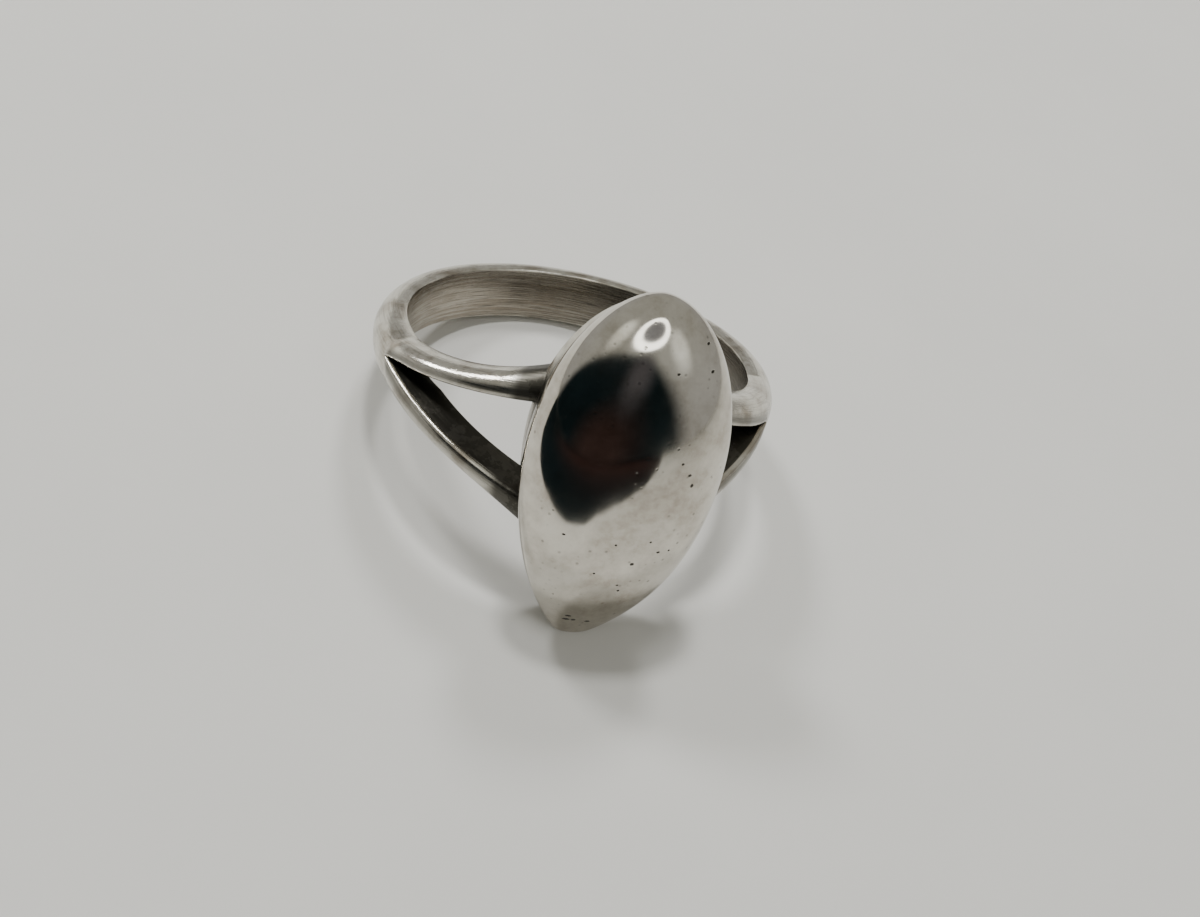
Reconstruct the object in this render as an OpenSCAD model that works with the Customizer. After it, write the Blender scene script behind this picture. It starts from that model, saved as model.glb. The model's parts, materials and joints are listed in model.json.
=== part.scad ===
// Silver teardrop ring with split shoulders, lying on a table as it rests by itself.
// Built about the finger axis with the head towards -Y, then tipped so that the
// point of the teardrop and the back of the band stand on the ground.

/* [Ring size] */

// Inside diameter of the finger hole
finger_d = 17.5; // [15:0.1:21]

// Width of the plain band at the back
band_w = 2.85; // [2.2:0.05:3.6]

// Thickness of the band at its crown
band_t = 1.55; // [1.2:0.05:2]

// Thickness of the band at its outer rims
rim_t = 0.6; // [0.4:0.05:0.9]

/* [Split shoulders] */

// Angle from the head to the point where the band splits on the left
split_left = 79; // [60:1:85]

// Angle from the head to the point where the band splits on the right
split_right = 62; // [55:1:85]

// Half height of the open gap where the arms reach the head
gap_rise = 2.6; // [1.6:0.05:2.8]

// Height above the middle that an upper arm's outer rim reaches at the head
upper_rise = 3.95; // [3:0.05:4.3]

// Depth below the middle that a lower arm's outer rim reaches at the head
lower_rise = 4.6; // [3.5:0.05:4.9]

/* [Teardrop head] */

// Length of the teardrop above its widest place
head_up = 8.2; // [7:0.1:9.5]

// Length of the teardrop below its widest place
head_down = 10.3; // [9:0.1:11.5]

// Greatest width of the teardrop
head_w = 9.6; // [8:0.1:11]

// Height of the widest place above the middle of the band
widest_z = 0.85; // [-1:0.1:2]

// Height of the polished dome above the back plate
dome_h = 3.5; // [2.5:0.1:5]

// Thickness of the back plate
plate_t = 1.5; // [1.2:0.05:2]

/* [Hidden] */

// pieces

// colour of the bare metal
silver = [0.72, 0.71, 0.68];

// derived sizes
bore_r = finger_d / 2;
band_r = bore_r + band_t;
rim_r = bore_r + rim_t;
band_half = band_w / 2;
plate_y = bore_r + 0.05;
dome_y = plate_y + plate_t;
head_half = head_w / 2;

// half width of the narrow end of the gap
apex_half = 0.05;
// the gap is this much narrower at the finger hole than outside, on each side; the slant starts
// at nothing at the split and is full after one part in slant_rate of the way to the head
gap_slant = 0.65;
slant_rate = 3;
// the gap's middle lies this high at its narrow end, and slides down by this much on the way to the head
gap_lift = 0.33;
gap_slide = 0.62;
slide_angle = 70;
// angles from the head where the outer rims start to spread and where the rises are measured
widen_angle = 77;
rise_angle = 20;
// depth of the arms and of the band inside the finger hole, cut away by the bore
sink = 0.5;
band_sink = 0.3;
// angle from the head at which the roots of the arms end, inside the band
root_end = 84;
// the arms lie this deep under the band's surface, and this much deeper at their roots
tuck = 0.03;
root_tuck = 0.08;
root_run = 12;
// angle from the head at which the arms end, inside the back plate
arm_end = 17;
// stations along one arm
arm_steps = 16;
// points across the rounded side of the band and of an arm
round_steps = 7;
band_fn = 96;

// roundness of the teardrop above and below its widest place
blunt_up = 0.563;
blunt_down = 0.675;
// the point itself is as round as an ellipse's end, over about this length
tip_len = 0.5;
// points along each quarter of the teardrop's outline
outline_steps = 24;
// the plate is this much smaller than the dome all around
plate_scale = 0.9;
// height above the plate at which the dome is widest
belly = 1.1;
// share of the dome's height that is lost at the point of the teardrop, and how late it goes
tip_taper = 0.8;
tip_power = 4;
// rings of points between the belly and the top of the dome
dome_steps = 12;
// slack of the dome in the plate, so that both fuse
fuse = 0.1;
// the dome is hollow: its cavity is a smaller dome, this much narrower and lower, clear of the plate
hollow_scale = 0.82;
hollow_depth = 0.7;
hollow_gap = 0.05;
// points along each quarter of the cavity's outline and rings on its crown
hollow_steps = 12;
hollow_rings = 6;

bore_len = 16;
bore_fn = 96;

// outline of the teardrop: half width at a share s of the way from the widest place
// towards the top (s > 0) or the point (s < 0)
function blunt_at(s) =
  s > 0 ? blunt_up : blunt_down - (blunt_down - 0.5) * exp(-head_down * (1 + s) / tip_len);
function half_at(s) = head_half * pow(1 - s * s, blunt_at(s));
function rise_at(s) = widest_z + s * (s > 0 ? head_up : head_down);

// outline through 2 n - 1 points on each side; they are closer together near both ends, where the
// outline turns fast, and a short flat closes the point
function side_of(n) = [for (i = [1 : 2 * n - 1]) let (s = cos(180 * i / (2 * n))) [half_at(s), rise_at(s)]];
function outline_of(n) =
  let (right = side_of(n))
  concat([[0, rise_at(1)]], right, [for (i = [len(right) - 1 : -1 : 0]) [-right[i][0], right[i][1]]]);
outline = outline_of(outline_steps);

// an outline shrunk towards the widest place, keeping its proportions
function shrunk(points, k) = [for (p = points) [p[0] * k, widest_z + (p[1] - widest_z) * k]];

// levels of a dome: distance forward of its base and scale of the outline
belly_levels = [[0, 0.93], [0.35 * belly, 0.975], [belly, 1]];
function crown_levels(n) = [
  for (i = [1 : n - 1])
    let (a = 90 * i / n)
    [belly + (dome_h - belly) * sin(a), pow(cos(a), 0.92)]
];
// the dome gets lower from its widest place down to the point
function lowered(z) = 1 - tip_taper * pow(max(0, widest_z - z) / head_down, tip_power);
// rings of points of a dome on an outline, with its base at base_y and its depth times deep
function loops_of(points, n, base_y, deep) = [
  for (level = concat(belly_levels, crown_levels(n)))
    [for (p = shrunk(points, level[1])) [p[0], base_y - level[0] * deep * lowered(p[1]), p[1]]]
];
dome_back = -dome_y + fuse;
dome_loops = loops_of(outline, dome_steps, dome_back, 1);
dome_tip = [0, dome_back - dome_h, widest_z];
hollow_back = -dome_y - hollow_gap;
hollow_outline = shrunk(outline_of(hollow_steps), hollow_scale);
hollow_loops = loops_of(hollow_outline, hollow_rings, hollow_back, hollow_depth);
hollow_tip = [0, hollow_back - dome_h * hollow_depth, widest_z];

// share of the way from an angle where something starts to the head
function share(a, start) = max(0, (start - a) / (start - rise_angle));
// half height of the gap, height of its middle and height of an arm's outer rim
function gap_at(a, split) = apex_half + (gap_rise - apex_half) * share(a, split);
function middle_at(a) = gap_lift - gap_slide * share(a, slide_angle);
function rim_at(a, rise) =
  let (s = share(a, widen_angle))
  band_half + (rise - band_half) * (0.55 * s + 0.45 * pow(s, 3));

// rounded outside from the crown at height low to the outer rim at height top
function rounded(low, top, crown, rim) = [
  for (i = [0 : round_steps])
    let (t = 90 * i / round_steps)
    [rim + (crown - rim) * cos(t), low + (top - low) * sin(t)]
];

// section of the band, as radius and height
band_quarter = rounded(0, band_half, band_r, rim_r);
band_section = concat(
  [[bore_r - band_sink, -band_half]],
  [for (i = [round_steps : -1 : 1]) [band_quarter[i][0], -band_quarter[i][1]]],
  band_quarter,
  [[bore_r - band_sink, band_half]]
);

// gap's edge of an arm, measured away from the middle of the band; side is 1 above and -1 below
function edge_at(a, split, side) = gap_at(a, split) + side * middle_at(a);

// the edge is lower where the arm's inner side lies, inside the finger hole
function inner_edge_at(a, split, side) =
  edge_at(a, split, side) - gap_slant * min(1, slant_rate * share(a, split)) * (band_t + sink) / band_t;

function tuck_at(a) = tuck + root_tuck * max(0, (a - root_end + root_run) / root_run);

// section of an arm at an angle from the head
function arm_section(a, split, rise, side) =
  let (low = edge_at(a, split, side), top = rim_at(a, rise) - tuck, deep = tuck_at(a))
  concat(
    [[bore_r - sink, inner_edge_at(a, split, side)]],
    rounded(low, top, band_r - deep, rim_r - deep),
    [[bore_r - sink, top]]
  );

arm_angles = [for (i = [0 : arm_steps]) arm_end + (root_end - arm_end) * i / arm_steps];
function arm_loops(split, rise, side) = [
  for (a = arm_angles)
    [for (p = arm_section(a, split, rise, side)) [p[0] * sin(a), -p[0] * cos(a), p[1]]]
];

// an arm ends in a blunt point at both ends, inside the plate and inside the band
function arm_point(a, split, rise, side) =
  let (r = (bore_r + rim_r) / 2)
  [r * sin(a), -r * cos(a), (edge_at(a, split, side) + rim_at(a, rise)) / 2];

// points of the band and of the head that can touch the ground
band_feet = [for (p = band_quarter) [p[0], -p[1]]];
foot = 2 * outline_steps - 1;
head_feet = concat(
  [for (loop = dome_loops) [loop[foot][1], loop[foot][2]]],
  [[-dome_y, shrunk(outline, plate_scale)[foot][1]]]
);
function drop(feet, tilt) = min([for (p = feet) p[1] * cos(tilt) - p[0] * sin(tilt)]);
function settle(low, high, n) =
  let (mid = (low + high) / 2)
  n == 0 ? mid :
  drop(head_feet, mid) < drop(band_feet, mid) ? settle(mid, high, n - 1) : settle(low, mid, n - 1);
rest_tilt = settle(0, 45, 24);
rest_lift = -drop(band_feet, rest_tilt);

// bottom centre of the bounding box, measured along Y after tipping
function along(p, tilt) = p[0] * cos(tilt) + p[1] * sin(tilt);
band_reach = max([for (p = band_quarter) along(p, rest_tilt)]);
head_points = [for (loop = dome_loops) for (p = loop) [p[1], p[2]]];
head_reach = min([for (p = concat(head_points, [[dome_tip[1], dome_tip[2]]])) along(p, rest_tilt)]);
rest_shift = -(band_reach + head_reach) / 2;

// side faces and end caps of a closed tube through loops of equal length
function tube_sides(n, m) = [
  for (j = [0 : m - 2]) for (i = [0 : n - 1])
    [j * n + i, j * n + (i + 1) % n, (j + 1) * n + (i + 1) % n, (j + 1) * n + i]
];
function flat(loops) = [for (loop = loops) for (p = loop) p];

// plain band around the back, from one split to the other
module band() {
  rotate([0, 0, split_right - 90])
    rotate_extrude(angle = 360 - split_left - split_right, $fn = band_fn)
      polygon(band_section);
}

// right arm, from the split to the edge of the back plate
module arm(split, rise, side) {
  loops = arm_loops(split, rise, side);
  n = len(loops[0]);
  m = len(loops);
  tips = [arm_point(arm_end - 1, split, rise, side), arm_point(root_end + 1, split, rise, side)];
  polyhedron(
    points = concat(flat(loops), tips),
    faces = concat(
      [for (i = [0 : n - 1]) [(i + 1) % n, i, m * n]],
      tube_sides(n, m),
      [for (i = [0 : n - 1]) [(m - 1) * n + i, (m - 1) * n + (i + 1) % n, m * n + 1]]
    ),
    convexity = 4
  );
}

// upper and lower arm of one side
module arm_pair(split) {
  arm(split, upper_rise, 1);
  mirror([0, 0, 1])
    arm(split, lower_rise, -1);
}

// two arms on each side
module split_shoulders() {
  arm_pair(split_right);
  mirror([1, 0, 0])
    arm_pair(split_left);
}

// band and arms with the finger hole bored through them
module shank() {
  difference() {
    union() {
      band();
      split_shoulders();
    }
    cylinder(h = bore_len, r = bore_r, center = true, $fn = bore_fn);
  }
}

// thin teardrop plate that closes the back of the dome and takes the arms
module back_plate() {
  translate([0, -plate_y, 0])
    rotate([90, 0, 0])
      linear_extrude(height = plate_t)
        polygon(shrunk(outline, plate_scale));
}

// closed pillow through rings of points, with a flat back
module pillow(loops, tip) {
  n = len(loops[0]);
  m = len(loops);
  polyhedron(
    points = concat(flat(loops), [tip]),
    faces = concat(
      [[for (i = [n - 1 : -1 : 0]) i]],
      tube_sides(n, m),
      [for (i = [0 : n - 1]) [(m - 1) * n + i, (m - 1) * n + (i + 1) % n, m * n]]
    ),
    convexity = 4
  );
}

// high polished teardrop dome, widest a little in front of the plate and hollow inside
module dome() {
  difference() {
    pillow(dome_loops, dome_tip);
    pillow(hollow_loops, hollow_tip);
  }
}

// all of the soldered metal in one piece
module ring() {
  color(silver)
    translate([0, rest_shift, rest_lift])
      rotate([-rest_tilt, 0, 0])
        union() {
          shank();
          back_plate();
          dome();
        }
}

ring();
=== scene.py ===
import json
import math

import bmesh
import bpy
from bpy.props import FloatProperty, PointerProperty, StringProperty
from mathutils import Matrix, Vector


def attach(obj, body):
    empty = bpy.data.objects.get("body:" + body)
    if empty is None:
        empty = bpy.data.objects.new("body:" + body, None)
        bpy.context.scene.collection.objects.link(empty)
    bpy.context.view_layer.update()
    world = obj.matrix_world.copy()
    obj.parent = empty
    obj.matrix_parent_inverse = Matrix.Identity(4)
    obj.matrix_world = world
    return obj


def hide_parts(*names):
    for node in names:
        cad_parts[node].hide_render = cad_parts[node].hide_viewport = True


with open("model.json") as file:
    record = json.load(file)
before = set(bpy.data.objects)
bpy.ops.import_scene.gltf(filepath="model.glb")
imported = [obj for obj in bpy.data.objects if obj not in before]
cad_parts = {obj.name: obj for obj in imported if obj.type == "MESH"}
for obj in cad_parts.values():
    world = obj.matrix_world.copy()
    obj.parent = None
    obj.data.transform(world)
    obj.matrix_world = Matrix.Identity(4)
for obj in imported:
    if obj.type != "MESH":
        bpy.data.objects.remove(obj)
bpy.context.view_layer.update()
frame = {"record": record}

bl_info = {
    "name": "Teardrop Ring",
    "version": (1, 0, 0),
    "blender": (4, 5, 0),
    "location": "View3D > Sidebar > Ring",
    "description": "Builds a silver ring with split shoulders and a domed teardrop head on a pale table",
    "category": "Add Mesh",
}

MM = 0.001

# the finger hole as the record states it: the middle of its wall and its axis, leaning back
HOLE = frame["record"]["mounts"][0]
HOLE_CENTRE = Vector(HOLE["pos_m"])
HOLE_AXIS = Vector(HOLE["axis"]).normalized()
HOLE_RADIUS = HOLE["dims"]["r_mm"] * MM


class RingSizes(bpy.types.PropertyGroup):
    """Sizes of the shank and of the head"""
    band_width: FloatProperty(
        name="Band Width", description="Width of the plain band at the back",
        default=2.85 * MM, unit="LENGTH", subtype="DISTANCE")
    band_thickness: FloatProperty(
        name="Band Thickness", description="Thickness of the band at its crown",
        default=1.55 * MM, unit="LENGTH", subtype="DISTANCE")
    rim_thickness: FloatProperty(
        name="Rim Thickness", description="Thickness of the band at its outer rims",
        default=0.6 * MM, unit="LENGTH", subtype="DISTANCE")
    split_left: FloatProperty(
        name="Left Split", description="Angle from the head to the point where the left side splits",
        default=math.radians(79), unit="ROTATION", subtype="ANGLE")
    split_right: FloatProperty(
        name="Right Split", description="Angle from the head to the point where the right side splits",
        default=math.radians(62), unit="ROTATION", subtype="ANGLE")
    gap_rise: FloatProperty(
        name="Gap Rise", description="Half height of the open gap at the head",
        default=2.6 * MM, unit="LENGTH", subtype="DISTANCE")
    upper_rise: FloatProperty(
        name="Upper Rise", description="Height of an upper arm's outer rim at the head",
        default=3.95 * MM, unit="LENGTH", subtype="DISTANCE")
    lower_rise: FloatProperty(
        name="Lower Rise", description="Depth of a lower arm's outer rim at the head",
        default=4.6 * MM, unit="LENGTH", subtype="DISTANCE")
    head_up: FloatProperty(
        name="Head Above", description="Length of the teardrop above its widest place",
        default=8.2 * MM, unit="LENGTH", subtype="DISTANCE")
    head_down: FloatProperty(
        name="Head Below", description="Length of the teardrop below its widest place",
        default=10.3 * MM, unit="LENGTH", subtype="DISTANCE")
    head_width: FloatProperty(
        name="Head Width", description="Greatest width of the teardrop",
        default=9.6 * MM, unit="LENGTH", subtype="DISTANCE")
    head_lean: FloatProperty(
        name="Head Lean", description="How far the teardrop's point stands off to the left",
        default=0.3 * MM, unit="LENGTH", subtype="DISTANCE")
    widest_height: FloatProperty(
        name="Widest Height", description="Height of the widest place above the band's middle",
        default=0.85 * MM, unit="LENGTH", subtype="DISTANCE")
    dome_height: FloatProperty(
        name="Dome Height", description="Height of the dome above the back plate",
        default=3.5 * MM, unit="LENGTH", subtype="DISTANCE")
    belly_height: FloatProperty(
        name="Belly Height", description="Height above the plate where the dome is widest",
        default=1.1 * MM, unit="LENGTH", subtype="DISTANCE")
    plate_thickness: FloatProperty(
        name="Plate Thickness", description="Thickness of the back plate",
        default=1.5 * MM, unit="LENGTH", subtype="DISTANCE")


class RingLooks(bpy.types.PropertyGroup):
    """Colours of the metal, of the oxide on it, which also colours its painted shade, and of the table"""
    silver: StringProperty(name="Silver", description="Polished silver, as a hex colour", default="#E6E3DA")
    worn_silver: StringProperty(
        name="Worn Silver", description="Finely scratched silver, as a hex colour", default="#DCD9CF")
    tarnish: StringProperty(
        name="Tarnish", description="Thin brown film on old silver, as a hex colour", default="#94897A")
    # the oxide colour is also the colour of the painted shade beside the filed edges and on the finger side
    oxide_and_shade: StringProperty(name="Oxide and Painted Shade", description="Blackened silver, as a hex colour", default="#45433D")
    table: StringProperty(name="Table", description="Pale matt table, as a hex colour", default="#E0DFDA")


# vertices closer than this are one
MERGE_REACH = 0.001 * MM

# stations along an arm and along half the back, and points of a strand's section: across a gap's face,
# around its filed edge and from the crown to the outer rim
ARM_STATIONS = 60
BACK_STATIONS = 60
FACE_POINTS = 4
FILED_POINTS = 4
ROUND_POINTS = 14
# the arms end this far from the middle of the head, sunk most of the way into the plate; their rises are
# measured at RISE_ANGLE
ARM_END = math.radians(17)
RISE_ANGLE = math.radians(20)
# the outer rims start to spread here; this share of the spread is even and the rest comes near the head
WIDEN_ANGLE = math.radians(77)
EVEN_SPREAD = 0.55
# the line between two strands lies this high at the narrow end of the gap and slides down towards the head
GAP_LIFT = 0.33 * MM
GAP_SLIDE = 0.62 * MM
SLIDE_ANGLE = math.radians(70)
# on the plain back that line runs out to the crown between these angles
LEVEL_FROM = math.radians(85)
LEVEL_TO = math.radians(125)
# the gap is this much narrower at the finger hole than outside, on each side
GAP_SLANT = 0.65 * MM
# it comes to that one part in this many of the way from the split to the head
SLANT_RATE = 3
# the gap is fully open, edges and all, where it is this high
GAP_OPEN = 0.12 * MM
# vertices of the plain back's two strands that are closer than this are one; a station this close to the
# split is still the back
SEAM_REACH = 0.004 * MM
SPLIT_MARGIN = 1e-6
# small breaks of the sharp edges; the face of a gap ends this many times the filed break from the crown
INNER_BREAK = 0.16 * MM
SAWN_BREAK = 0.05 * MM
FILED_BREAK = 0.22 * MM
PLATE_BREAK = 0.08 * MM
FACE_MARGIN = 1.25
# middle point of the inner edge's break, as shares of it across and down
BREAK_ACROSS = 0.35
BREAK_DOWN = 0.3
# edges sharper than this stay sharp, and the plate's rims are the edges past RIM_ANGLE
SHANK_SHARP = math.radians(35)
PLATE_SHARP = math.radians(40)
RIM_ANGLE = math.radians(60)
# oxide of the edge between a gap and the finger hole; at a filed edge the side next to the gap is burnished,
# which is oxide below 0, and the other side is oxidised
INNER_OXIDE = 0.4
EDGE_OXIDE = (-0.6, -0.6, -0.2, 0.3)
# painted shade: a dark stripe, kept with the oxide, lies outside the filed edge, this dense and this many
# points wide
EDGE_SHADE = 0.46
EDGE_POINTS = 5
# black oxide was left where the arms meet the head
OXIDE_FROM = math.radians(37)
OXIDE_TO = math.radians(24)
# painted shade: the finger side is painted darker along the back, from the left towards the right
SHADED_WALL = (math.radians(235) * HOLE_RADIUS, math.radians(150) * HOLE_RADIUS)

# cuts across each side of the cube that becomes the dome, and points around the plate
DOME_CUTS = 63
PLATE_POINTS = 160
# how pointed the teardrop is above and below its widest place: 0.5 is an ellipse
BLUNT_UP = 0.563
BLUNT_DOWN = 0.675
# the point itself is as round as an ellipse's end, over about this length
TIP_LENGTH = 0.5 * MM
# the lean grows with this power of the way down to the point
LEAN_POWER = 4
# the dome loses this share of its height at its point, and it grows with this power of the way down
TIP_TAPER = 0.8
TIP_POWER = 4
# the crown's fullness, the share of the ball that turns under and the outline at the base
CROWN_POWER = 0.92
UNDER_SHARE = 0.6
BASE_SCALE = 0.93
# size of the plate against the dome's outline; at its top it hides behind the dome
PLATE_SCALE = 0.9
PLATE_TOP = 0.84
# the plate's back clears the finger hole by this much and the dome sinks into the plate by this much
PLATE_GAP = 0.05 * MM
PLATE_BACK = HOLE_RADIUS + PLATE_GAP
FUSE = 0.1 * MM
# black oxide lies in the groove around the dome: on the ball's back between these shares, and on the plate's
# front between these depths
UNDER_OXIDE = (0.35, 0.6)
GROOVE_OXIDE = (0.35 * MM, 0.05 * MM)
# it stays where the arms shelter it and fades out between these heights
SHELTER_FROM = 6.0 * MM
SHELTER_TO = 4.0 * MM


def rgb(text):
    """Turns an sRGB hex colour into the linear colour that shaders take."""
    channels = [int(text[i:i + 2], 16) / 255 for i in (1, 3, 5)]
    return [c / 12.92 if c <= 0.04045 else ((c + 0.055) / 1.055) ** 2.4 for c in channels] + [1.0]


def ease(value, start, end):
    """Smooth step from 0 at start to 1 at end, in either direction."""
    t = min(1.0, max(0.0, (value - start) / (end - start)))
    return t * t * (3 - 2 * t)


# Meshes

def lie_down(sizes):
    """Lays a ring that stands about +Z on the table; its wall reaches lower than it rises."""
    top = outer_rim(sizes, ARM_END, sizes.upper_rise)
    bottom = outer_rim(sizes, ARM_END, sizes.lower_rise)
    tilt = math.atan2(HOLE_AXIS.y, HOLE_AXIS.z)
    wall_middle = Vector((0, 0, (top - bottom) / 2))
    turn = Matrix.Rotation(-tilt, 4, "X")
    return Matrix.Translation(HOLE_CENTRE) @ turn @ Matrix.Translation(-wall_middle)


def finish_piece(bm, sizes, name, material, sharp_angle=None):
    """Lays the ring down, makes the mesh an object and hands it to the frame."""
    bmesh.ops.remove_doubles(bm, verts=bm.verts, dist=MERGE_REACH)
    bmesh.ops.recalc_face_normals(bm, faces=bm.faces)
    for face in bm.faces:
        face.smooth = True
    bmesh.ops.transform(bm, matrix=lie_down(sizes), verts=bm.verts)
    mesh = bpy.data.meshes.new(name)
    bm.to_mesh(mesh)
    bm.free()
    if sharp_angle:
        mesh.set_sharp_from_angle(angle=sharp_angle)
    piece = bpy.data.objects.new(name, mesh)
    bpy.context.scene.collection.objects.link(piece)
    piece.data.materials.append(material)
    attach(piece, "root")
    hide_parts("ring")
    return piece


def carry_loop(bm, loop, places):
    """Extrudes a closed loop of vertices to its next places and returns the new loop."""
    count = len(loop)
    edges = [bm.edges.get((loop[i], loop[(i + 1) % count])) for i in range(count)]
    made = bmesh.ops.extrude_edge_only(bm, edges=edges)["geom"]
    fresh = {item for item in made if isinstance(item, bmesh.types.BMVert)}
    following = []
    for vert, place in zip(loop, places):
        neighbours = [edge.other_vert(vert) for edge in vert.link_edges]
        carried = next(neighbour for neighbour in neighbours if neighbour in fresh)
        following.append(carried)
        carried.co = place
    return following


def first_loop(bm, places):
    """Starts a mesh from one closed loop of vertices."""
    verts = [bm.verts.new(place) for place in places]
    for i in range(len(verts)):
        bm.edges.new((verts[i], verts[(i + 1) % len(verts)]))
    return verts


# Band and shoulders

def share(angle, start):
    """Share of the way from an angle where something starts to the head."""
    return max(0.0, (start - angle) / (start - RISE_ANGLE))


def gap_middle(angle):
    """Height of the line between the two strands."""
    slide = GAP_LIFT - GAP_SLIDE * share(angle, SLIDE_ANGLE)
    return slide * (1 - ease(angle, LEVEL_FROM, LEVEL_TO))


def outer_rim(sizes, angle, rise):
    """Height of a strand's outer rim."""
    spread = share(angle, WIDEN_ANGLE)
    half = sizes.band_width / 2
    return half + (rise - half) * (EVEN_SPREAD * spread + (1 - EVEN_SPREAD) * spread ** 3)


def strand_section(sizes, angle, split, side):
    """Section of a strand as (radius, height, oxide and painted shade), from the finger side outwards and
    back.
    """
    gap = sizes.gap_rise * share(angle, split)
    low = gap + side * gap_middle(angle)
    top = outer_rim(sizes, angle, sizes.upper_rise if side > 0 else sizes.lower_rise)
    opened = min(1.0, gap / GAP_OPEN)
    inner = HOLE_RADIUS
    crown = inner + sizes.band_thickness
    rim = inner + sizes.rim_thickness
    slant = GAP_SLANT * min(1.0, SLANT_RATE * share(angle, split))
    cut = SAWN_BREAK * opened
    filed = FILED_BREAK * opened
    section = [(inner, low - slant + cut, INNER_OXIDE * opened)]
    face_end = crown - FACE_MARGIN * filed
    for step in range(FACE_POINTS):
        radius = inner + cut + (face_end - inner - cut) * step / (FACE_POINTS - 1)
        section.append((radius, low - slant * (crown - radius) / sizes.band_thickness, opened))
    for step in range(FILED_POINTS):
        turn = math.pi / 2 * step / FILED_POINTS
        radius = crown - filed * (1 - math.sin(turn))
        slide = slant * filed * math.cos(turn) / sizes.band_thickness
        height = low + filed * (1 - math.cos(turn)) - slide
        section.append((radius, height, EDGE_OXIDE[step] * opened))
    for step in range(ROUND_POINTS + 1):
        turn = math.pi / 2 * step / ROUND_POINTS
        radius = rim + (crown - rim) * math.cos(turn)
        height = low + filed + (top - low - filed) * math.sin(turn)
        # painted shade: a dark stripe that fades outwards from the filed edge
        stripe = math.cos(math.pi / 2 * min(1.0, step / EDGE_POINTS))
        section.append((radius, height, EDGE_SHADE * opened * stripe))
    section.append((inner + INNER_BREAK, top, 0.0))
    section.append((inner + BREAK_ACROSS * INNER_BREAK, top - BREAK_DOWN * INNER_BREAK, 0.0))
    section.append((inner, top - INNER_BREAK, 0.0))
    return section


def shank_angles(sizes):
    """Angles of the stations, from the right side of the head around the back to its left side."""
    arm_run = sizes.split_left - ARM_END
    arm = [ARM_END + arm_run * i / ARM_STATIONS for i in range(ARM_STATIONS + 1)]
    back_run = math.pi - sizes.split_left
    back = [sizes.split_left + back_run * i / BACK_STATIONS for i in range(1, BACK_STATIONS + 1)]
    half = sorted(arm + back + [sizes.split_right])
    return half + [2 * math.pi - angle for angle in reversed(half[:-1])]


def mark_loop(layers, loop, section, angle, head_end):
    """Notes on each vertex its oxide and painted shade, whether it faces the finger, and how far along and
    across it lies.
    """
    across = 0.0
    before = section[0]
    for vert, point in zip(loop, section):
        radius, height, oxide_and_shade = point
        across += math.hypot(radius - before[0], height - before[1])
        before = point
        vert[layers["patina_and_shade"]] = max(oxide_and_shade, head_end)
        vert[layers["inside"]] = float(radius < HOLE_RADIUS + SAWN_BREAK / 2)
        vert[layers["along"]] = angle * HOLE_RADIUS
        vert[layers["across"]] = across


def build_shank(bm, sizes):
    """Both strands run from one side of the head around the back to the other; they part at the gaps."""
    layers = {name: bm.verts.layers.float.new(name) for name in ("patina_and_shade", "inside", "along", "across")}
    angles = shank_angles(sizes)
    seam = []
    for side in (1, -1):
        loop = None
        for angle in angles:
            folded = min(angle, 2 * math.pi - angle)
            split = sizes.split_right if angle < math.pi else sizes.split_left
            section = strand_section(sizes, folded, split, side)
            places = [Vector((radius * math.sin(angle), -radius * math.cos(angle), side * height))
                      for radius, height, _ in section]
            loop = first_loop(bm, places) if loop is None else carry_loop(bm, loop, places)
            if angle == angles[0]:
                bmesh.ops.contextual_create(bm, geom=loop)
            mark_loop(layers, loop, section, angle, ease(folded, OXIDE_FROM, OXIDE_TO))
            if folded >= split - SPLIT_MARGIN:
                seam.extend(loop[:FACE_POINTS + FILED_POINTS + 2])
        bmesh.ops.contextual_create(bm, geom=loop)
    # the plain back is one band: its two halves fuse where they meet
    joined = set(seam)
    inside = [face for face in bm.faces if all(vert in joined for vert in face.verts)]
    bmesh.ops.delete(bm, geom=inside, context="FACES")
    bmesh.ops.remove_doubles(bm, verts=[vert for vert in seam if vert.is_valid], dist=SEAM_REACH)


# Head

def teardrop(sizes, turn, pointed=1.0):
    """Point of the teardrop's outline at an angle from its right side, about its widest place."""
    rise = math.sin(turn)
    if rise > 0:
        blunt = BLUNT_UP
    else:
        blunt = BLUNT_DOWN - (BLUNT_DOWN - 0.5) * math.exp(-sizes.head_down * (1 + rise) / TIP_LENGTH)
    across = math.cos(turn)
    power = 1 + 2 * (blunt - 0.5) * pointed
    x = sizes.head_width / 2 * math.copysign(abs(across) ** power, across)
    x -= sizes.head_lean * max(0.0, -rise) ** LEAN_POWER
    return x, (sizes.head_up if rise > 0 else sizes.head_down) * rise


def dome_base(sizes):
    """Distance of the dome's base from the finger hole's axis."""
    return PLATE_BACK + sizes.plate_thickness - FUSE


def dome_place(sizes, direction):
    """Carries a point of the unit ball to the dome: its front is the crown, its back turns under."""
    front = -direction.y
    around = math.atan2(direction.z, direction.x)
    out = math.sqrt(max(0.0, 1 - front * front))
    if front >= 0:
        scale = out ** CROWN_POWER
        depth = sizes.belly_height + (sizes.dome_height - sizes.belly_height) * front
    elif -front < UNDER_SHARE:
        under = -front / UNDER_SHARE
        scale = 1 - (1 - BASE_SCALE) * under ** 2
        depth = sizes.belly_height * (1 - under)
    else:
        scale = BASE_SCALE * out / math.sqrt(1 - UNDER_SHARE ** 2)
        depth = 0.0
    x, z = teardrop(sizes, around, pointed=min(1.0, scale) ** 2)
    depth *= 1 - TIP_TAPER * (max(0.0, -z * scale) / sizes.head_down) ** TIP_POWER
    return Vector((x * scale, -dome_base(sizes) - depth, sizes.widest_height + z * scale))


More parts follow.
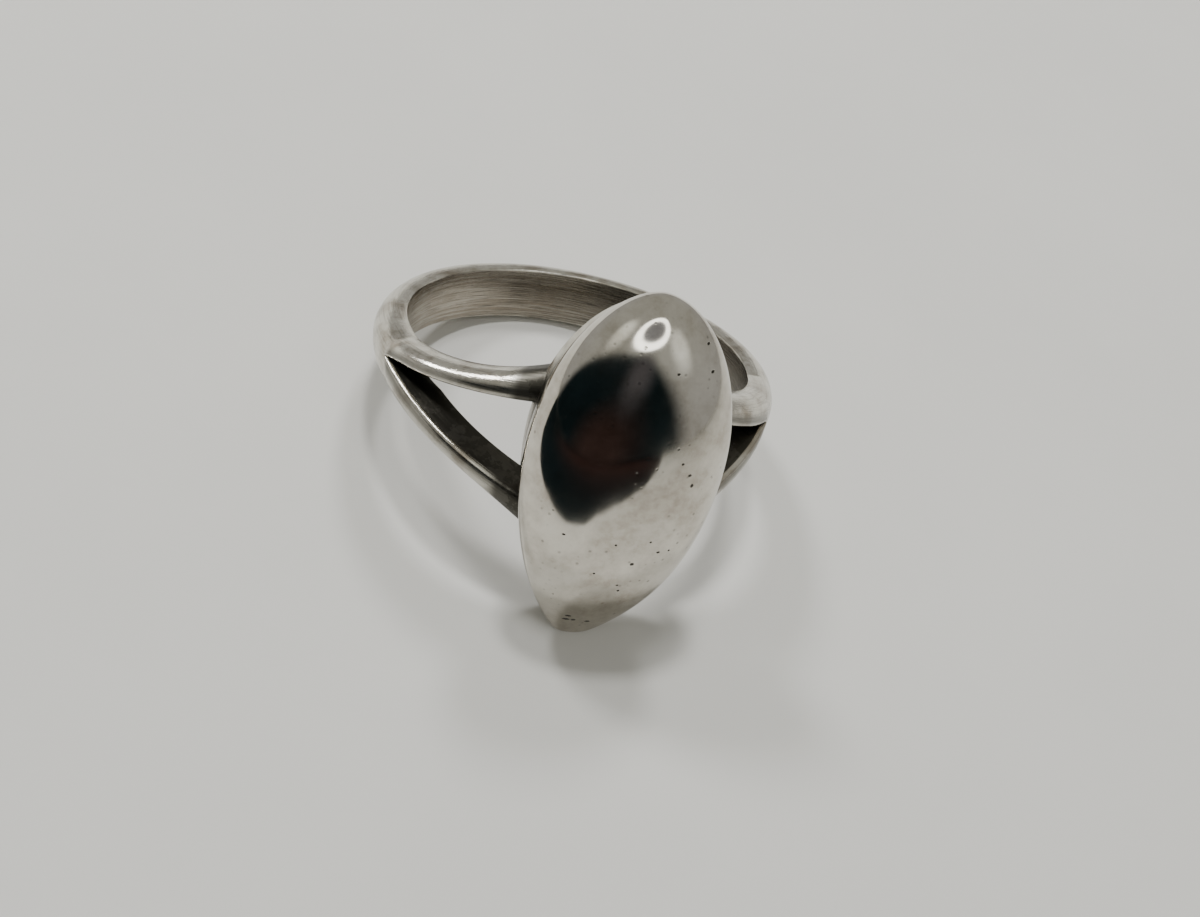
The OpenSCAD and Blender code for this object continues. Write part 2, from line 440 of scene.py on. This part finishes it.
def build_dome(bm, sizes):
    """A divided cube is blown up to a ball and carried to the dome, so no pole shows in the polish."""
    oxide_and_shade = bm.verts.layers.float.new("patina_and_shade")
    bmesh.ops.create_cube(bm, size=2.0)
    bmesh.ops.subdivide_edges(bm, edges=bm.edges, cuts=DOME_CUTS, use_grid_fill=True)
    for vert in bm.verts:
        direction = Vector([math.tan(c * math.pi / 4) for c in vert.co]).normalized()
        vert.co = dome_place(sizes, direction)
        vert[oxide_and_shade] = ease(direction.y, *UNDER_OXIDE) * ease(abs(vert.co.z), SHELTER_FROM, SHELTER_TO)


def build_plate(bm, sizes):
    """The outline is filled, pushed to its thickness and its edges are broken."""
    outline = []
    for i in range(PLATE_POINTS):
        x, z = teardrop(sizes, 2 * math.pi * i / PLATE_POINTS)
        z *= PLATE_TOP if z > 0 else PLATE_SCALE
        outline.append(Vector((x * PLATE_SCALE, -PLATE_BACK, sizes.widest_height + z)))
    loop = first_loop(bm, outline)
    face = bmesh.ops.contextual_create(bm, geom=loop)["faces"][0]
    front = bmesh.ops.extrude_face_region(bm, geom=[face])["geom"]
    verts = [item for item in front if isinstance(item, bmesh.types.BMVert)]
    bmesh.ops.translate(bm, verts=verts, vec=Vector((0, -sizes.plate_thickness, 0)))
    rims = [edge for edge in bm.edges if edge.calc_face_angle(0) > RIM_ANGLE]
    bmesh.ops.bevel(bm, geom=rims, offset=PLATE_BREAK, segments=3, profile=0.5, affect="EDGES", material=-1)
    oxide_and_shade = bm.verts.layers.float.new("patina_and_shade")
    clean, black = (dome_base(sizes) - depth for depth in GROOVE_OXIDE)
    for vert in bm.verts:
        groove = ease(-vert.co.y, clean, black)
        vert[oxide_and_shade] = groove * ease(abs(vert.co.z), SHELTER_FROM, SHELTER_TO)


# Materials

# settings that many nodes share: a colour mix and a smooth step from the first to the second value
COLOUR_MIX = {"data_type": "RGBA"}
SMOOTH = {"interpolation_type": "SMOOTHSTEP"}


def add_node(tree, kind, settings=None, output=0):
    """Adds a node, sets or joins what the settings name and returns one of its outputs."""
    node = tree.nodes.new("ShaderNode" + kind)
    for key, value in (settings or {}).items():
        if isinstance(value, bpy.types.NodeSocket):
            tree.links.new(value, node.inputs[key])
        elif isinstance(key, str) and hasattr(node, key):
            setattr(node, key, value)
        else:
            node.inputs[key].default_value = value
    return node.outputs[output] if node.outputs else None


def blots(size):
    """Noise scale that gives blots of about this size."""
    return 0.5 / size


def new_material(name):
    """Material with an empty node tree."""
    material = bpy.data.materials.new(name)
    material.use_nodes = True
    material.node_tree.nodes.clear()
    return material, material.node_tree


def finish_metal(tree, colour, rough, height, bump_height):
    """Metal shader with a bump, joined to the output."""
    bump = add_node(tree, "Bump", {"Strength": 1.0, "Distance": bump_height, "Height": height})
    metal = add_node(tree, "BsdfPrincipled", {
        "Metallic": 1.0, "Base Color": colour, "Roughness": rough, "Normal": bump})
    add_node(tree, "OutputMaterial", {"Surface": metal})


# casting pits in the dome, in millimetres: across, height on the ring, half length, half width
PITS = (
    (-0.98, -7.80, 0.17, 0.07),
    (-0.98, -8.12, 0.20, 0.08),
    (-0.62, -8.12, 0.13, 0.09),
    (0.09, -8.16, 0.15, 0.08),
    (0.88, -3.74, 0.10, 0.08),
    (2.50, 1.19, 0.09, 0.07),
    (2.00, 1.78, 0.07, 0.06),
    (0.72, -5.50, 0.07, 0.06),
    (0.84, 6.04, 0.08, 0.06),
    (-2.64, -2.56, 0.08, 0.05),
    (-0.19, -2.68, 0.06, 0.05),
    (1.46, -2.42, 0.06, 0.05),
    (2.01, -3.03, 0.09, 0.06),
    (2.56, -2.96, 0.06, 0.05),
    (-0.77, -4.47, 0.06, 0.05),
    (0.55, -5.12, 0.07, 0.05),
    (2.75, 0.64, 0.08, 0.10),
    (2.18, 7.31, 0.09, 0.07),
    (2.58, 6.12, 0.10, 0.08),
)
# a pit's dark fades between these shares of its size
PIT_EDGE = (1.15, 0.75)


def pit_marks(tree, place, sizes):
    """1 in the casting pits and 0 elsewhere; the pits lie across the dome's front."""
    upright = lie_down(sizes).inverted()
    on_ring = add_node(tree, "Mapping", {
        "Location": upright.to_translation(), "Rotation": upright.to_euler(), "Vector": place})
    marks = 0.0
    for across, height, half_length, half_width in PITS:
        centre = Vector((across, 0, height)) * MM
        shape = Vector((1 / half_length, 0, 1 / half_width)) / MM
        offset = add_node(tree, "VectorMath", {"operation": "SUBTRACT", 0: on_ring, 1: centre})
        scaled = add_node(tree, "VectorMath", {"operation": "MULTIPLY", 0: offset, 1: shape})
        reach = add_node(tree, "VectorMath", {"operation": "LENGTH", 0: scaled}, "Value")
        mark = add_node(tree, "MapRange", {
            **SMOOTH, "Value": reach, "From Min": PIT_EDGE[0], "From Max": PIT_EDGE[1]})
        marks = add_node(tree, "Math", {"operation": "MAXIMUM", 0: marks, 1: mark})
    return marks


def polished_silver(looks, sizes):
    """Sterling silver, cast and hand polished: a warm mirror with casting pits, specks and handling marks."""
    material, tree = new_material("Polished sterling silver")
    place = add_node(tree, "TexCoord", output="Object")
    oxide_and_shade = add_node(tree, "Attribute", {"attribute_name": "patina_and_shade"}, "Fac")
    # a thin film of tarnish in clouds of about two millimetres, mottled finely
    clouds = add_node(tree, "TexNoise", {
        "Vector": place, "Scale": blots(1.6 * MM), "Detail": 4.0, "Roughness": 0.6})
    clouds = add_node(tree, "MapRange", {
        **SMOOTH, "Value": clouds, "From Min": 0.34, "From Max": 0.68, "To Min": 0.18, "To Max": 0.5})
    mottle = add_node(tree, "TexNoise", {
        "Vector": place, "Scale": blots(0.3 * MM), "Detail": 4.0, "Roughness": 0.7})
    mottle = add_node(tree, "MapRange", {
        **SMOOTH, "Value": mottle, "From Min": 0.35, "From Max": 0.7, "To Min": 0.0, "To Max": 0.5})
    film = add_node(tree, "Math", {"operation": "MULTIPLY_ADD", 0: clouds, 1: mottle, 2: clouds})
    colour = add_node(tree, "Mix", {
        **COLOUR_MIX, 0: film, 6: rgb(looks.silver), 7: rgb(looks.tarnish)}, 2)
    # grey specks of less than a tenth of a millimetre, denser in some places than in others
    distance = add_node(tree, "TexVoronoi", {"Vector": place, "Scale": 1 / (0.42 * MM), "Randomness": 1.0})
    lot = add_node(tree, "SeparateColor", {"Color": distance.node.outputs["Color"]})
    lot = add_node(tree, "MapRange", {**SMOOTH, "Value": lot, "From Min": 0.4, "From Max": 0.8})
    crowd = add_node(tree, "TexNoise", {"Vector": place, "Scale": blots(1.9 * MM)})
    crowd = add_node(tree, "MapRange", {**SMOOTH, "Value": crowd, "From Min": 0.38, "From Max": 0.58})
    chosen = add_node(tree, "Math", {"operation": "MULTIPLY", 0: lot, 1: crowd})
    specks = add_node(tree, "MapRange", {**SMOOTH, "Value": distance, "From Min": 0.25, "From Max": 0.08})
    specks = add_node(tree, "Math", {"operation": "MULTIPLY", 0: specks, 1: chosen})
    pits = pit_marks(tree, place, sizes)
    black = add_node(tree, "Math", {"operation": "MAXIMUM", 0: pits, 1: oxide_and_shade})
    grey = add_node(tree, "Math", {"operation": "MULTIPLY", 0: specks, 1: 0.5})
    dark = add_node(tree, "Math", {"operation": "MAXIMUM", 0: grey, 1: black})
    colour = add_node(tree, "Mix", {**COLOUR_MIX, 0: dark, 6: colour, 7: rgb(looks.oxide_and_shade)}, 2)
    # fine scratches and a faint ripple left by the polishing wheel
    fine = add_node(tree, "TexNoise", {
        "Vector": place, "Scale": blots(0.16 * MM), "Detail": 5.0, "Roughness": 0.7})
    ripple = add_node(tree, "TexNoise", {"Vector": place, "Scale": blots(1.2 * MM)})
    rough = add_node(tree, "MapRange", {
        **SMOOTH, "Value": ripple, "From Min": 0.35, "From Max": 0.7, "To Min": 0.06, "To Max": 0.12})
    rough = add_node(tree, "Math", {"operation": "MULTIPLY_ADD", 0: black, 1: 0.3, 2: rough})
    # the bump's height: scratches and ripple stand up, specks and pits go down
    height = add_node(tree, "Math", {"operation": "MULTIPLY", 0: ripple, 1: 0.35})
    height = add_node(tree, "Math", {"operation": "MULTIPLY_ADD", 0: fine, 1: 0.05, 2: height})
    height = add_node(tree, "Math", {"operation": "MULTIPLY_ADD", 0: specks, 1: -0.4, 2: height})
    height = add_node(tree, "Math", {"operation": "MULTIPLY_ADD", 0: pits, 1: -4.0, 2: height})
    finish_metal(tree, colour, rough, height, 0.006 * MM)
    return material


def worn_silver(looks):
    """Sterling silver worn by the finger: brushed lengthwise, browned inside, black oxide in the gaps, and
    painted shade beside the filed edges and along the finger side.
    """
    material, tree = new_material("Worn sterling silver with oxide and painted shade")
    place = add_node(tree, "TexCoord", output="Object")
    patina_and_shade = add_node(tree, "Attribute", {"attribute_name": "patina_and_shade"}, "Fac")
    inside = add_node(tree, "Attribute", {"attribute_name": "inside"}, "Fac")
    along = add_node(tree, "Attribute", {"attribute_name": "along"}, "Fac")
    across = add_node(tree, "Attribute", {"attribute_name": "across"}, "Fac")
    # brush marks a few hundredths of a millimetre wide and some millimetres long
    drawn_out = add_node(tree, "Math", {"operation": "MULTIPLY", 0: along, 1: 0.05})
    lengthwise = add_node(tree, "CombineXYZ", {"X": drawn_out, "Y": across})
    brush = add_node(tree, "TexNoise", {
        "Vector": lengthwise, "Scale": blots(0.05 * MM), "Detail": 4.0, "Roughness": 0.65})
    broad = add_node(tree, "TexNoise", {
        "Vector": lengthwise, "Scale": blots(0.2 * MM), "Detail": 3.0, "Roughness": 0.6})
    stains = add_node(tree, "TexNoise", {
        "Vector": place, "Scale": blots(0.8 * MM), "Detail": 5.0, "Roughness": 0.65})
    # a film of tarnish, in stains outside and nearly everywhere inside, thinner in broad strokes
    outer_film = add_node(tree, "MapRange", {
        **SMOOTH, "Value": stains, "From Min": 0.38, "From Max": 0.68, "To Min": 0.1, "To Max": 0.95})
    inner_film = add_node(tree, "MapRange", {
        **SMOOTH, "Value": stains, "From Min": 0.25, "From Max": 0.6, "To Min": 0.8, "To Max": 1.0})
    inner_film = add_node(tree, "Math", {"operation": "MULTIPLY", 0: inside, 1: inner_film})
    film = add_node(tree, "Math", {"operation": "MAXIMUM", 0: outer_film, 1: inner_film})
    strokes = add_node(tree, "MapRange", {
        **SMOOTH, "Value": broad, "From Min": 0.3, "From Max": 0.65, "To Min": 0.55, "To Max": 1.0})
    film = add_node(tree, "Math", {"operation": "MULTIPLY", 0: film, 1: strokes})
    colour = add_node(tree, "Mix", {
        **COLOUR_MIX, 0: film, 6: rgb(looks.worn_silver), 7: rgb(looks.tarnish)}, 2)
    # dark lines stay in the deeper brush marks, twice as strong inside, where nothing polishes them
    lines_and_shade = add_node(tree, "MapRange", {
        **SMOOTH, "Value": brush, "From Min": 0.5, "From Max": 0.72, "To Min": 0.0, "To Max": 0.5})
    lines_and_shade = add_node(tree, "Math", {"operation": "MULTIPLY_ADD", 0: lines_and_shade, 1: inside, 2: lines_and_shade})
    # painted shade: the finger side is painted darker along the back, from the left towards the right
    shade = add_node(tree, "MapRange", {
        **SMOOTH, "Value": along, "From Min": SHADED_WALL[0], "From Max": SHADED_WALL[1],
        "To Min": 0.0, "To Max": 0.6})
    lines_and_shade = add_node(tree, "Math", {"operation": "MULTIPLY_ADD", 0: inside, 1: shade, 2: lines_and_shade})
    # filed edges are burnished: bright, smooth and without brush marks
    unburnished = add_node(tree, "MapRange", {**SMOOTH, "Value": patina_and_shade, "From Min": -0.5, "From Max": -0.1})
    lines_and_shade = add_node(tree, "Math", {"operation": "MULTIPLY", 0: lines_and_shade, 1: unburnished})
    colour = add_node(tree, "Mix", {**COLOUR_MIX, 0: lines_and_shade, 6: colour, 7: rgb(looks.oxide_and_shade)}, 2)
    colour = add_node(tree, "Mix", {**COLOUR_MIX, 0: unburnished, 6: rgb(looks.silver), 7: colour}, 2)
    # the oxide and the painted shade beside the filed edges fray in blots of half a millimetre on their
    # borders
    frayed = add_node(tree, "TexNoise", {
        "Vector": place, "Scale": blots(0.5 * MM), "Detail": 5.0, "Roughness": 0.7})
    frayed = add_node(tree, "Math", {"operation": "MULTIPLY_ADD", 0: frayed, 1: 2.2, 2: patina_and_shade})
    frayed = add_node(tree, "MapRange", {**SMOOTH, "Value": frayed, "From Min": 1.7, "From Max": 2.1})
    even = add_node(tree, "MapRange", {
        **SMOOTH, "Value": patina_and_shade, "From Min": 0.0, "From Max": 0.65, "To Min": 0.0, "To Max": 0.94})
    oxide_and_shade = add_node(tree, "Math", {"operation": "MAXIMUM", 0: frayed, 1: even})
    colour = add_node(tree, "Mix", {**COLOUR_MIX, 0: oxide_and_shade, 6: colour, 7: rgb(looks.oxide_and_shade)}, 2)
    # oxide and the finger side are duller, burnished edges are smoother
    dull = add_node(tree, "Math", {"operation": "MULTIPLY", 0: inside, 1: 0.5})
    dull = add_node(tree, "Math", {"operation": "MAXIMUM", 0: oxide_and_shade, 1: dull})
    rough = add_node(tree, "MapRange", {
        **SMOOTH, "Value": brush, "From Min": 0.3, "From Max": 0.7, "To Min": 0.09, "To Max": 0.22})
    rough = add_node(tree, "Math", {"operation": "MULTIPLY_ADD", 0: dull, 1: 0.24, 2: rough})
    smoothed = add_node(tree, "MapRange", {**SMOOTH, "Value": unburnished, "To Min": 0.55, "To Max": 1.0})
    rough = add_node(tree, "Math", {"operation": "MULTIPLY", 0: rough, 1: smoothed})
    height = add_node(tree, "Math", {"operation": "MULTIPLY_ADD", 0: stains, 1: 0.8, 2: brush})
    levelled = add_node(tree, "MapRange", {**SMOOTH, "Value": unburnished, "To Min": 0.25, "To Max": 1.0})
    height = add_node(tree, "Math", {"operation": "MULTIPLY", 0: height, 1: levelled})
    finish_metal(tree, colour, rough, height, 0.010 * MM)
    return material


def matt_table(looks):
    """Smooth matt board: pale warm grey, faintly clouded, with no sheen."""
    material, tree = new_material("Matt table board")
    place = add_node(tree, "TexCoord", output="Object")
    # clouds of about nine millimetres are a little darker
    pale = rgb(looks.table)
    greyer = [channel * 0.97 for channel in pale[:3]] + [1.0]
    clouds = add_node(tree, "TexNoise", {
        "Vector": place, "Scale": blots(9 * MM), "Detail": 5.0, "Roughness": 0.6})
    clouds = add_node(tree, "MapRange", {**SMOOTH, "Value": clouds, "From Min": 0.3, "From Max": 0.7})
    colour = add_node(tree, "Mix", {**COLOUR_MIX, 0: clouds, 6: greyer, 7: pale}, 2)
    grain = add_node(tree, "TexNoise", {"Vector": place, "Scale": blots(0.15 * MM), "Detail": 3.0})
    bump = add_node(tree, "Bump", {"Strength": 0.3, "Distance": 0.01 * MM, "Height": grain})
    board = add_node(tree, "BsdfPrincipled", {"Roughness": 0.85, "Base Color": colour, "Normal": bump})
    add_node(tree, "OutputMaterial", {"Surface": board})
    return material


def black_card():
    """Dull black card, slightly blue and faded in a patch, that darkens the dome's mirror image."""
    material, tree = new_material("Black card")
    place = add_node(tree, "TexCoord", output="Object")
    reach = add_node(tree, "VectorMath", {"operation": "DISTANCE", 0: place, 1: CARD_FADE}, "Value")
    faded = add_node(tree, "MapRange", {
        **SMOOTH, "Value": reach, "From Min": CARD_FADE_REACH[0], "From Max": CARD_FADE_REACH[1]})
    colour = add_node(tree, "Mix", {**COLOUR_MIX, 0: faded, 6: rgb(CARD_BLACK), 7: rgb(CARD_FADED)}, 2)
    card = add_node(tree, "BsdfDiffuse", {"Color": colour})
    add_node(tree, "OutputMaterial", {"Surface": card})
    return material


# Stage

# direction of view as measured from the photo's perspective
VIEW_AZIMUTH = math.radians(24.444)
VIEW_ELEVATION = math.radians(46.032)
VIEW_ROLL = math.radians(23.68)
VIEW_DISTANCE = 107.03 * MM
VIEW_AIM = Vector((1.748, -1.649, 2.221)) * MM
VIEW_LENS = 63.0
SENSOR_WIDTH = 36.0

# brightness of the room as the dome mirrors it, at its sides and above a height, as a sine
ROOM_SIDES = [0.40, 0.395, 0.375, 1.0]
ROOM_ABOVE = [0.42, 0.415, 0.375, 1.0]
ABOVE_HEIGHT = 0.7
# oval patches of the room, each painted over the last: azimuth from ahead and elevation in degrees, half
# width and half height as sines, softness of the edge, colour
ROOM_PATCHES = (
    # dark backdrop ahead, its faded patch and a grey one
    (-24, 0, 0.872, 0.59, 0.08, (0.007, 0.013, 0.015)),
    (-8, 1, 0.34, 0.20, 0.6, (0.041, 0.025, 0.022)),
    (3, 24, 0.15, 0.17, 0.75, (0.085, 0.080, 0.086)),
    # pale panels left and right
    (-54, 49, 0.20, 0.20, 0.50, (1.05, 1.05, 0.96)),
    (42, 33, 0.15, 0.20, 0.55, (0.95, 0.95, 0.89)),
    # ring lamp and its middle
    (6, 51, 0.33, 0.265, 0.05, (4.0, 4.0, 3.85)),
    (6, 51, 0.205, 0.175, 0.12, (0.28, 0.28, 0.29)),
)
# a patch ends this close to the plane square to its direction, so that none shows behind
PATCH_SIDE = 0.05
# share of the room's light that falls on matt things, because the lamps do most of the table's lighting
ROOM_FILL = 0.62

LAMP_DISTANCE = 0.5
# soft lamps behind the ring, seen by no mirror: name, direction, power in watts and size in metres
BACK_LAMPS = (
    ("lamp_right", Vector((0.19, 0.68, 1.0)), 0.85, 0.09),
    ("lamp_left", Vector((-0.58, 0.64, 1.0)), 0.95, 0.09),
    ("lamp_top", Vector((-0.10, 0.27, 1.0)), 0.95, 0.065),
)
# a long strip lamp on the left that glints along the band's edges and is kept off all else
STRIP_LAMP = Vector((-0.60, 0.44, 0.66))
STRIP_RUN = Vector((0.24, -0.69, 0.69))
STRIP_WIDTH = 0.05
STRIP_LENGTH = 0.55
STRIP_POWER = 2.4

TABLE_HALF = 0.6
# outline of the black card on the table, outside the picture, in millimetres
CARD_OUTLINE = (
    (330, -657), (82, -176), (38, -103), (23, -86), (10, -71), (0, -54), (-4, -41), (-10, -34),
    (-16, -32), (-21, -30), (-26, -25), (-31, -19), (-45, -14), (-90, -16), (-250, -30), (-560, -60),
    (-560, -560),
)
CARD_HEIGHT = 0.2 * MM
CARD_BLACK = "#141D20"
# the card fades to this colour around this place, between these distances from it in metres
CARD_FADED = "#3C2C2A"
CARD_FADE = Vector((-40, -330, 0)) * MM
CARD_FADE_REACH = (0.30, 0.10)


def aim_camera():
    """Camera at the photo's angle, looking down at the ring from its left front."""
    camera = bpy.data.objects.new("camera", bpy.data.cameras.new("camera"))
    camera.data.lens = VIEW_LENS
    camera.data.sensor_width = SENSOR_WIDTH
    camera.data.clip_start = MM
    level = Vector((math.sin(VIEW_AZIMUTH), math.cos(VIEW_AZIMUTH), 0))
    forward = level * math.cos(VIEW_ELEVATION) - Vector((0, 0, math.sin(VIEW_ELEVATION)))
    upright = forward.to_track_quat("-Z", "Y").to_matrix().to_4x4()
    place = Matrix.Translation(VIEW_AIM - forward * VIEW_DISTANCE)
    camera.matrix_world = place @ upright @ Matrix.Rotation(VIEW_ROLL, 4, "Z")
    bpy.context.scene.collection.objects.link(camera)
    bpy.context.scene.camera = camera


def room_patch(tree, view, room, azimuth, elevation, half_width, half_height, softness, colour):
    """Paints an oval patch of light or dark on the room around a direction."""
    turn = math.radians(azimuth)
    rise = math.radians(elevation)
    centre = Vector((math.sin(turn) * math.cos(rise), -math.cos(turn) * math.cos(rise), math.sin(rise)))
    across = Vector((0, 0, 1)).cross(centre).normalized()
    up = centre.cross(across)
    along = {"operation": "DOT_PRODUCT", 0: view}
    aside = add_node(tree, "VectorMath", {**along, 1: across / half_width}, "Value")
    above = add_node(tree, "VectorMath", {**along, 1: up / half_height}, "Value")
    ahead = add_node(tree, "VectorMath", {**along, 1: centre}, "Value")
    plan = add_node(tree, "CombineXYZ", {"X": aside, "Y": above})
    reach = add_node(tree, "VectorMath", {"operation": "LENGTH", 0: plan}, "Value")
    within = add_node(tree, "MapRange", {
        **SMOOTH, "Value": reach, "From Min": 1 + softness, "From Max": 1 - softness})
    facing = add_node(tree, "MapRange", {
        **SMOOTH, "Value": ahead, "From Min": -PATCH_SIDE, "From Max": PATCH_SIDE})
    amount = add_node(tree, "Math", {"operation": "MULTIPLY", 0: within, 1: facing})
    return add_node(tree, "Mix", {**COLOUR_MIX, 0: amount, 6: room, 7: [*colour, 1.0]}, 2)


def light_room():
    """Plain room: evenly pale, with a dark backdrop ahead, a ring lamp above it and pale panels beside it."""
    world = bpy.data.worlds.new("studio")
    bpy.context.scene.world = world
    world.use_nodes = True
    tree = world.node_tree
    tree.nodes.clear()
    view = add_node(tree, "TexCoord", output="Generated")
    height = add_node(tree, "SeparateXYZ", {"Vector": view}, "Z")
    above = add_node(tree, "MapRange", {**SMOOTH, "Value": height, "From Max": ABOVE_HEIGHT})
    room = add_node(tree, "Mix", {**COLOUR_MIX, 0: above, 6: ROOM_SIDES, 7: ROOM_ABOVE}, 2)
    for patch in ROOM_PATCHES:
        room = room_patch(tree, view, room, *patch)
    # beyond the table's edge the eye meets a plain pale room
    seen = add_node(tree, "LightPath", output="Is Camera Ray")
    room = add_node(tree, "Mix", {**COLOUR_MIX, 0: seen, 6: room, 7: ROOM_SIDES}, 2)
    matt = seen.node.outputs["Is Diffuse Ray"]
    strength = add_node(tree, "MapRange", {**SMOOTH, "Value": matt, "To Min": 1.0, "To Max": ROOM_FILL})
    sky = add_node(tree, "Background", {"Color": room, "Strength": strength})
    add_node(tree, "OutputWorld", {"Surface": sky})


def hang_lamp(name, direction, power):
    """Area lamp in this direction from the ring, facing it."""
    lamp = bpy.data.objects.new(name, bpy.data.lights.new(name, "AREA"))
    lamp.data.energy = power
    lamp.location = direction.normalized() * LAMP_DISTANCE
    lamp.rotation_euler = direction.to_track_quat("Z", "Y").to_euler()
    bpy.context.scene.collection.objects.link(lamp)
    return lamp


def hang_lamps():
    """Soft round lamps behind the ring throw its shadows; a strip lamp glints on the band."""
    for name, direction, power, size in BACK_LAMPS:
        lamp = hang_lamp(name, direction, power)
        lamp.data.shape = "DISK"
        lamp.data.size = size
        lamp.visible_glossy = False
    strip = hang_lamp("lamp_strip", STRIP_LAMP, STRIP_POWER)
    strip.data.shape = "RECTANGLE"
    strip.data.size = STRIP_WIDTH
    strip.data.size_y = STRIP_LENGTH
    away = STRIP_LAMP.normalized()
    side = STRIP_RUN.cross(away).normalized()
    strip.rotation_euler = Matrix((side, away.cross(side), away)).transposed().to_euler()
    strip.visible_diffuse = False
    lit = bpy.data.collections.new("lit_by_strip")
    lit.objects.link(bpy.data.objects["band_and_shoulders"])
    strip.light_linking.receiver_collection = lit


def stage_piece(bm, name, material):
    """Makes a mesh an object that belongs to the stage."""
    mesh = bpy.data.meshes.new(name)
    bm.to_mesh(mesh)
    bm.free()
    piece = bpy.data.objects.new(name, mesh)
    piece.data.materials.append(material)
    bpy.context.scene.collection.objects.link(piece)
    return piece


def lay_table(looks):
    """The table is one flat square around the ring."""
    bm = bmesh.new()
    bmesh.ops.create_grid(bm, x_segments=1, y_segments=1, size=TABLE_HALF)
    stage_piece(bm, "table", matt_table(looks))


def lay_card():
    """A black card lies on the table in front, outside the picture: only mirrors see it."""
    bm = bmesh.new()
    loop = first_loop(bm, [Vector((x * MM, y * MM, CARD_HEIGHT)) for x, y in CARD_OUTLINE])
    bmesh.ops.contextual_create(bm, geom=loop)
    bmesh.ops.recalc_face_normals(bm, faces=bm.faces)
    card = stage_piece(bm, "black_card", black_card())
    card.visible_camera = False
    card.visible_diffuse = False
    card.visible_shadow = False


# Operators

class RING_OT_shank(bpy.types.Operator):
    """Build the plain band and its split shoulders"""
    bl_idname = "ring.shank"
    bl_label = "Band and Shoulders"

    def execute(self, context):
        scene = context.scene
        bm = bmesh.new()
        build_shank(bm, scene.ring_sizes)
        metal = worn_silver(scene.ring_looks)
        finish_piece(bm, scene.ring_sizes, "band_and_shoulders", metal, SHANK_SHARP)
        return {"FINISHED"}


class RING_OT_head(bpy.types.Operator):
    """Build the teardrop dome and the plate behind it"""
    bl_idname = "ring.head"
    bl_label = "Teardrop Head"

    def execute(self, context):
        scene = context.scene
        bm = bmesh.new()
        build_dome(bm, scene.ring_sizes)
        finish_piece(bm, scene.ring_sizes, "dome", polished_silver(scene.ring_looks, scene.ring_sizes))
        bm = bmesh.new()
        build_plate(bm, scene.ring_sizes)
        finish_piece(bm, scene.ring_sizes, "back_plate", worn_silver(scene.ring_looks), PLATE_SHARP)
        return {"FINISHED"}


class RING_OT_stage(bpy.types.Operator):
    """Set up the table, the light and the camera"""
    bl_idname = "ring.stage"
    bl_label = "Table, Light and Camera"

    def execute(self, context):
        lay_table(context.scene.ring_looks)
        lay_card()
        light_room()
        hang_lamps()
        aim_camera()
        return {"FINISHED"}


class RING_PT_panel(bpy.types.Panel):
    """Lists the ring's building steps"""
    bl_idname = "RING_PT_panel"
    bl_label = "Teardrop Ring"
    bl_space_type = "VIEW_3D"
    bl_region_type = "UI"
    bl_category = "Ring"

    def draw(self, context):
        for step in (RING_OT_shank, RING_OT_head, RING_OT_stage):
            self.layout.operator(step.bl_idname)


CLASSES = (RingSizes, RingLooks, RING_OT_shank, RING_OT_head, RING_OT_stage, RING_PT_panel)


def register():
    for cls in CLASSES:
        bpy.utils.register_class(cls)
    bpy.types.Scene.ring_sizes = PointerProperty(type=RingSizes)
    bpy.types.Scene.ring_looks = PointerProperty(type=RingLooks)


def unregister():
    del bpy.types.Scene.ring_looks
    del bpy.types.Scene.ring_sizes
    for cls in reversed(CLASSES):
        bpy.utils.unregister_class(cls)


def main():
    register()
    bpy.ops.ring.shank()
    bpy.ops.ring.head()
    bpy.ops.ring.stage()


if __name__ == "__main__":
    main()
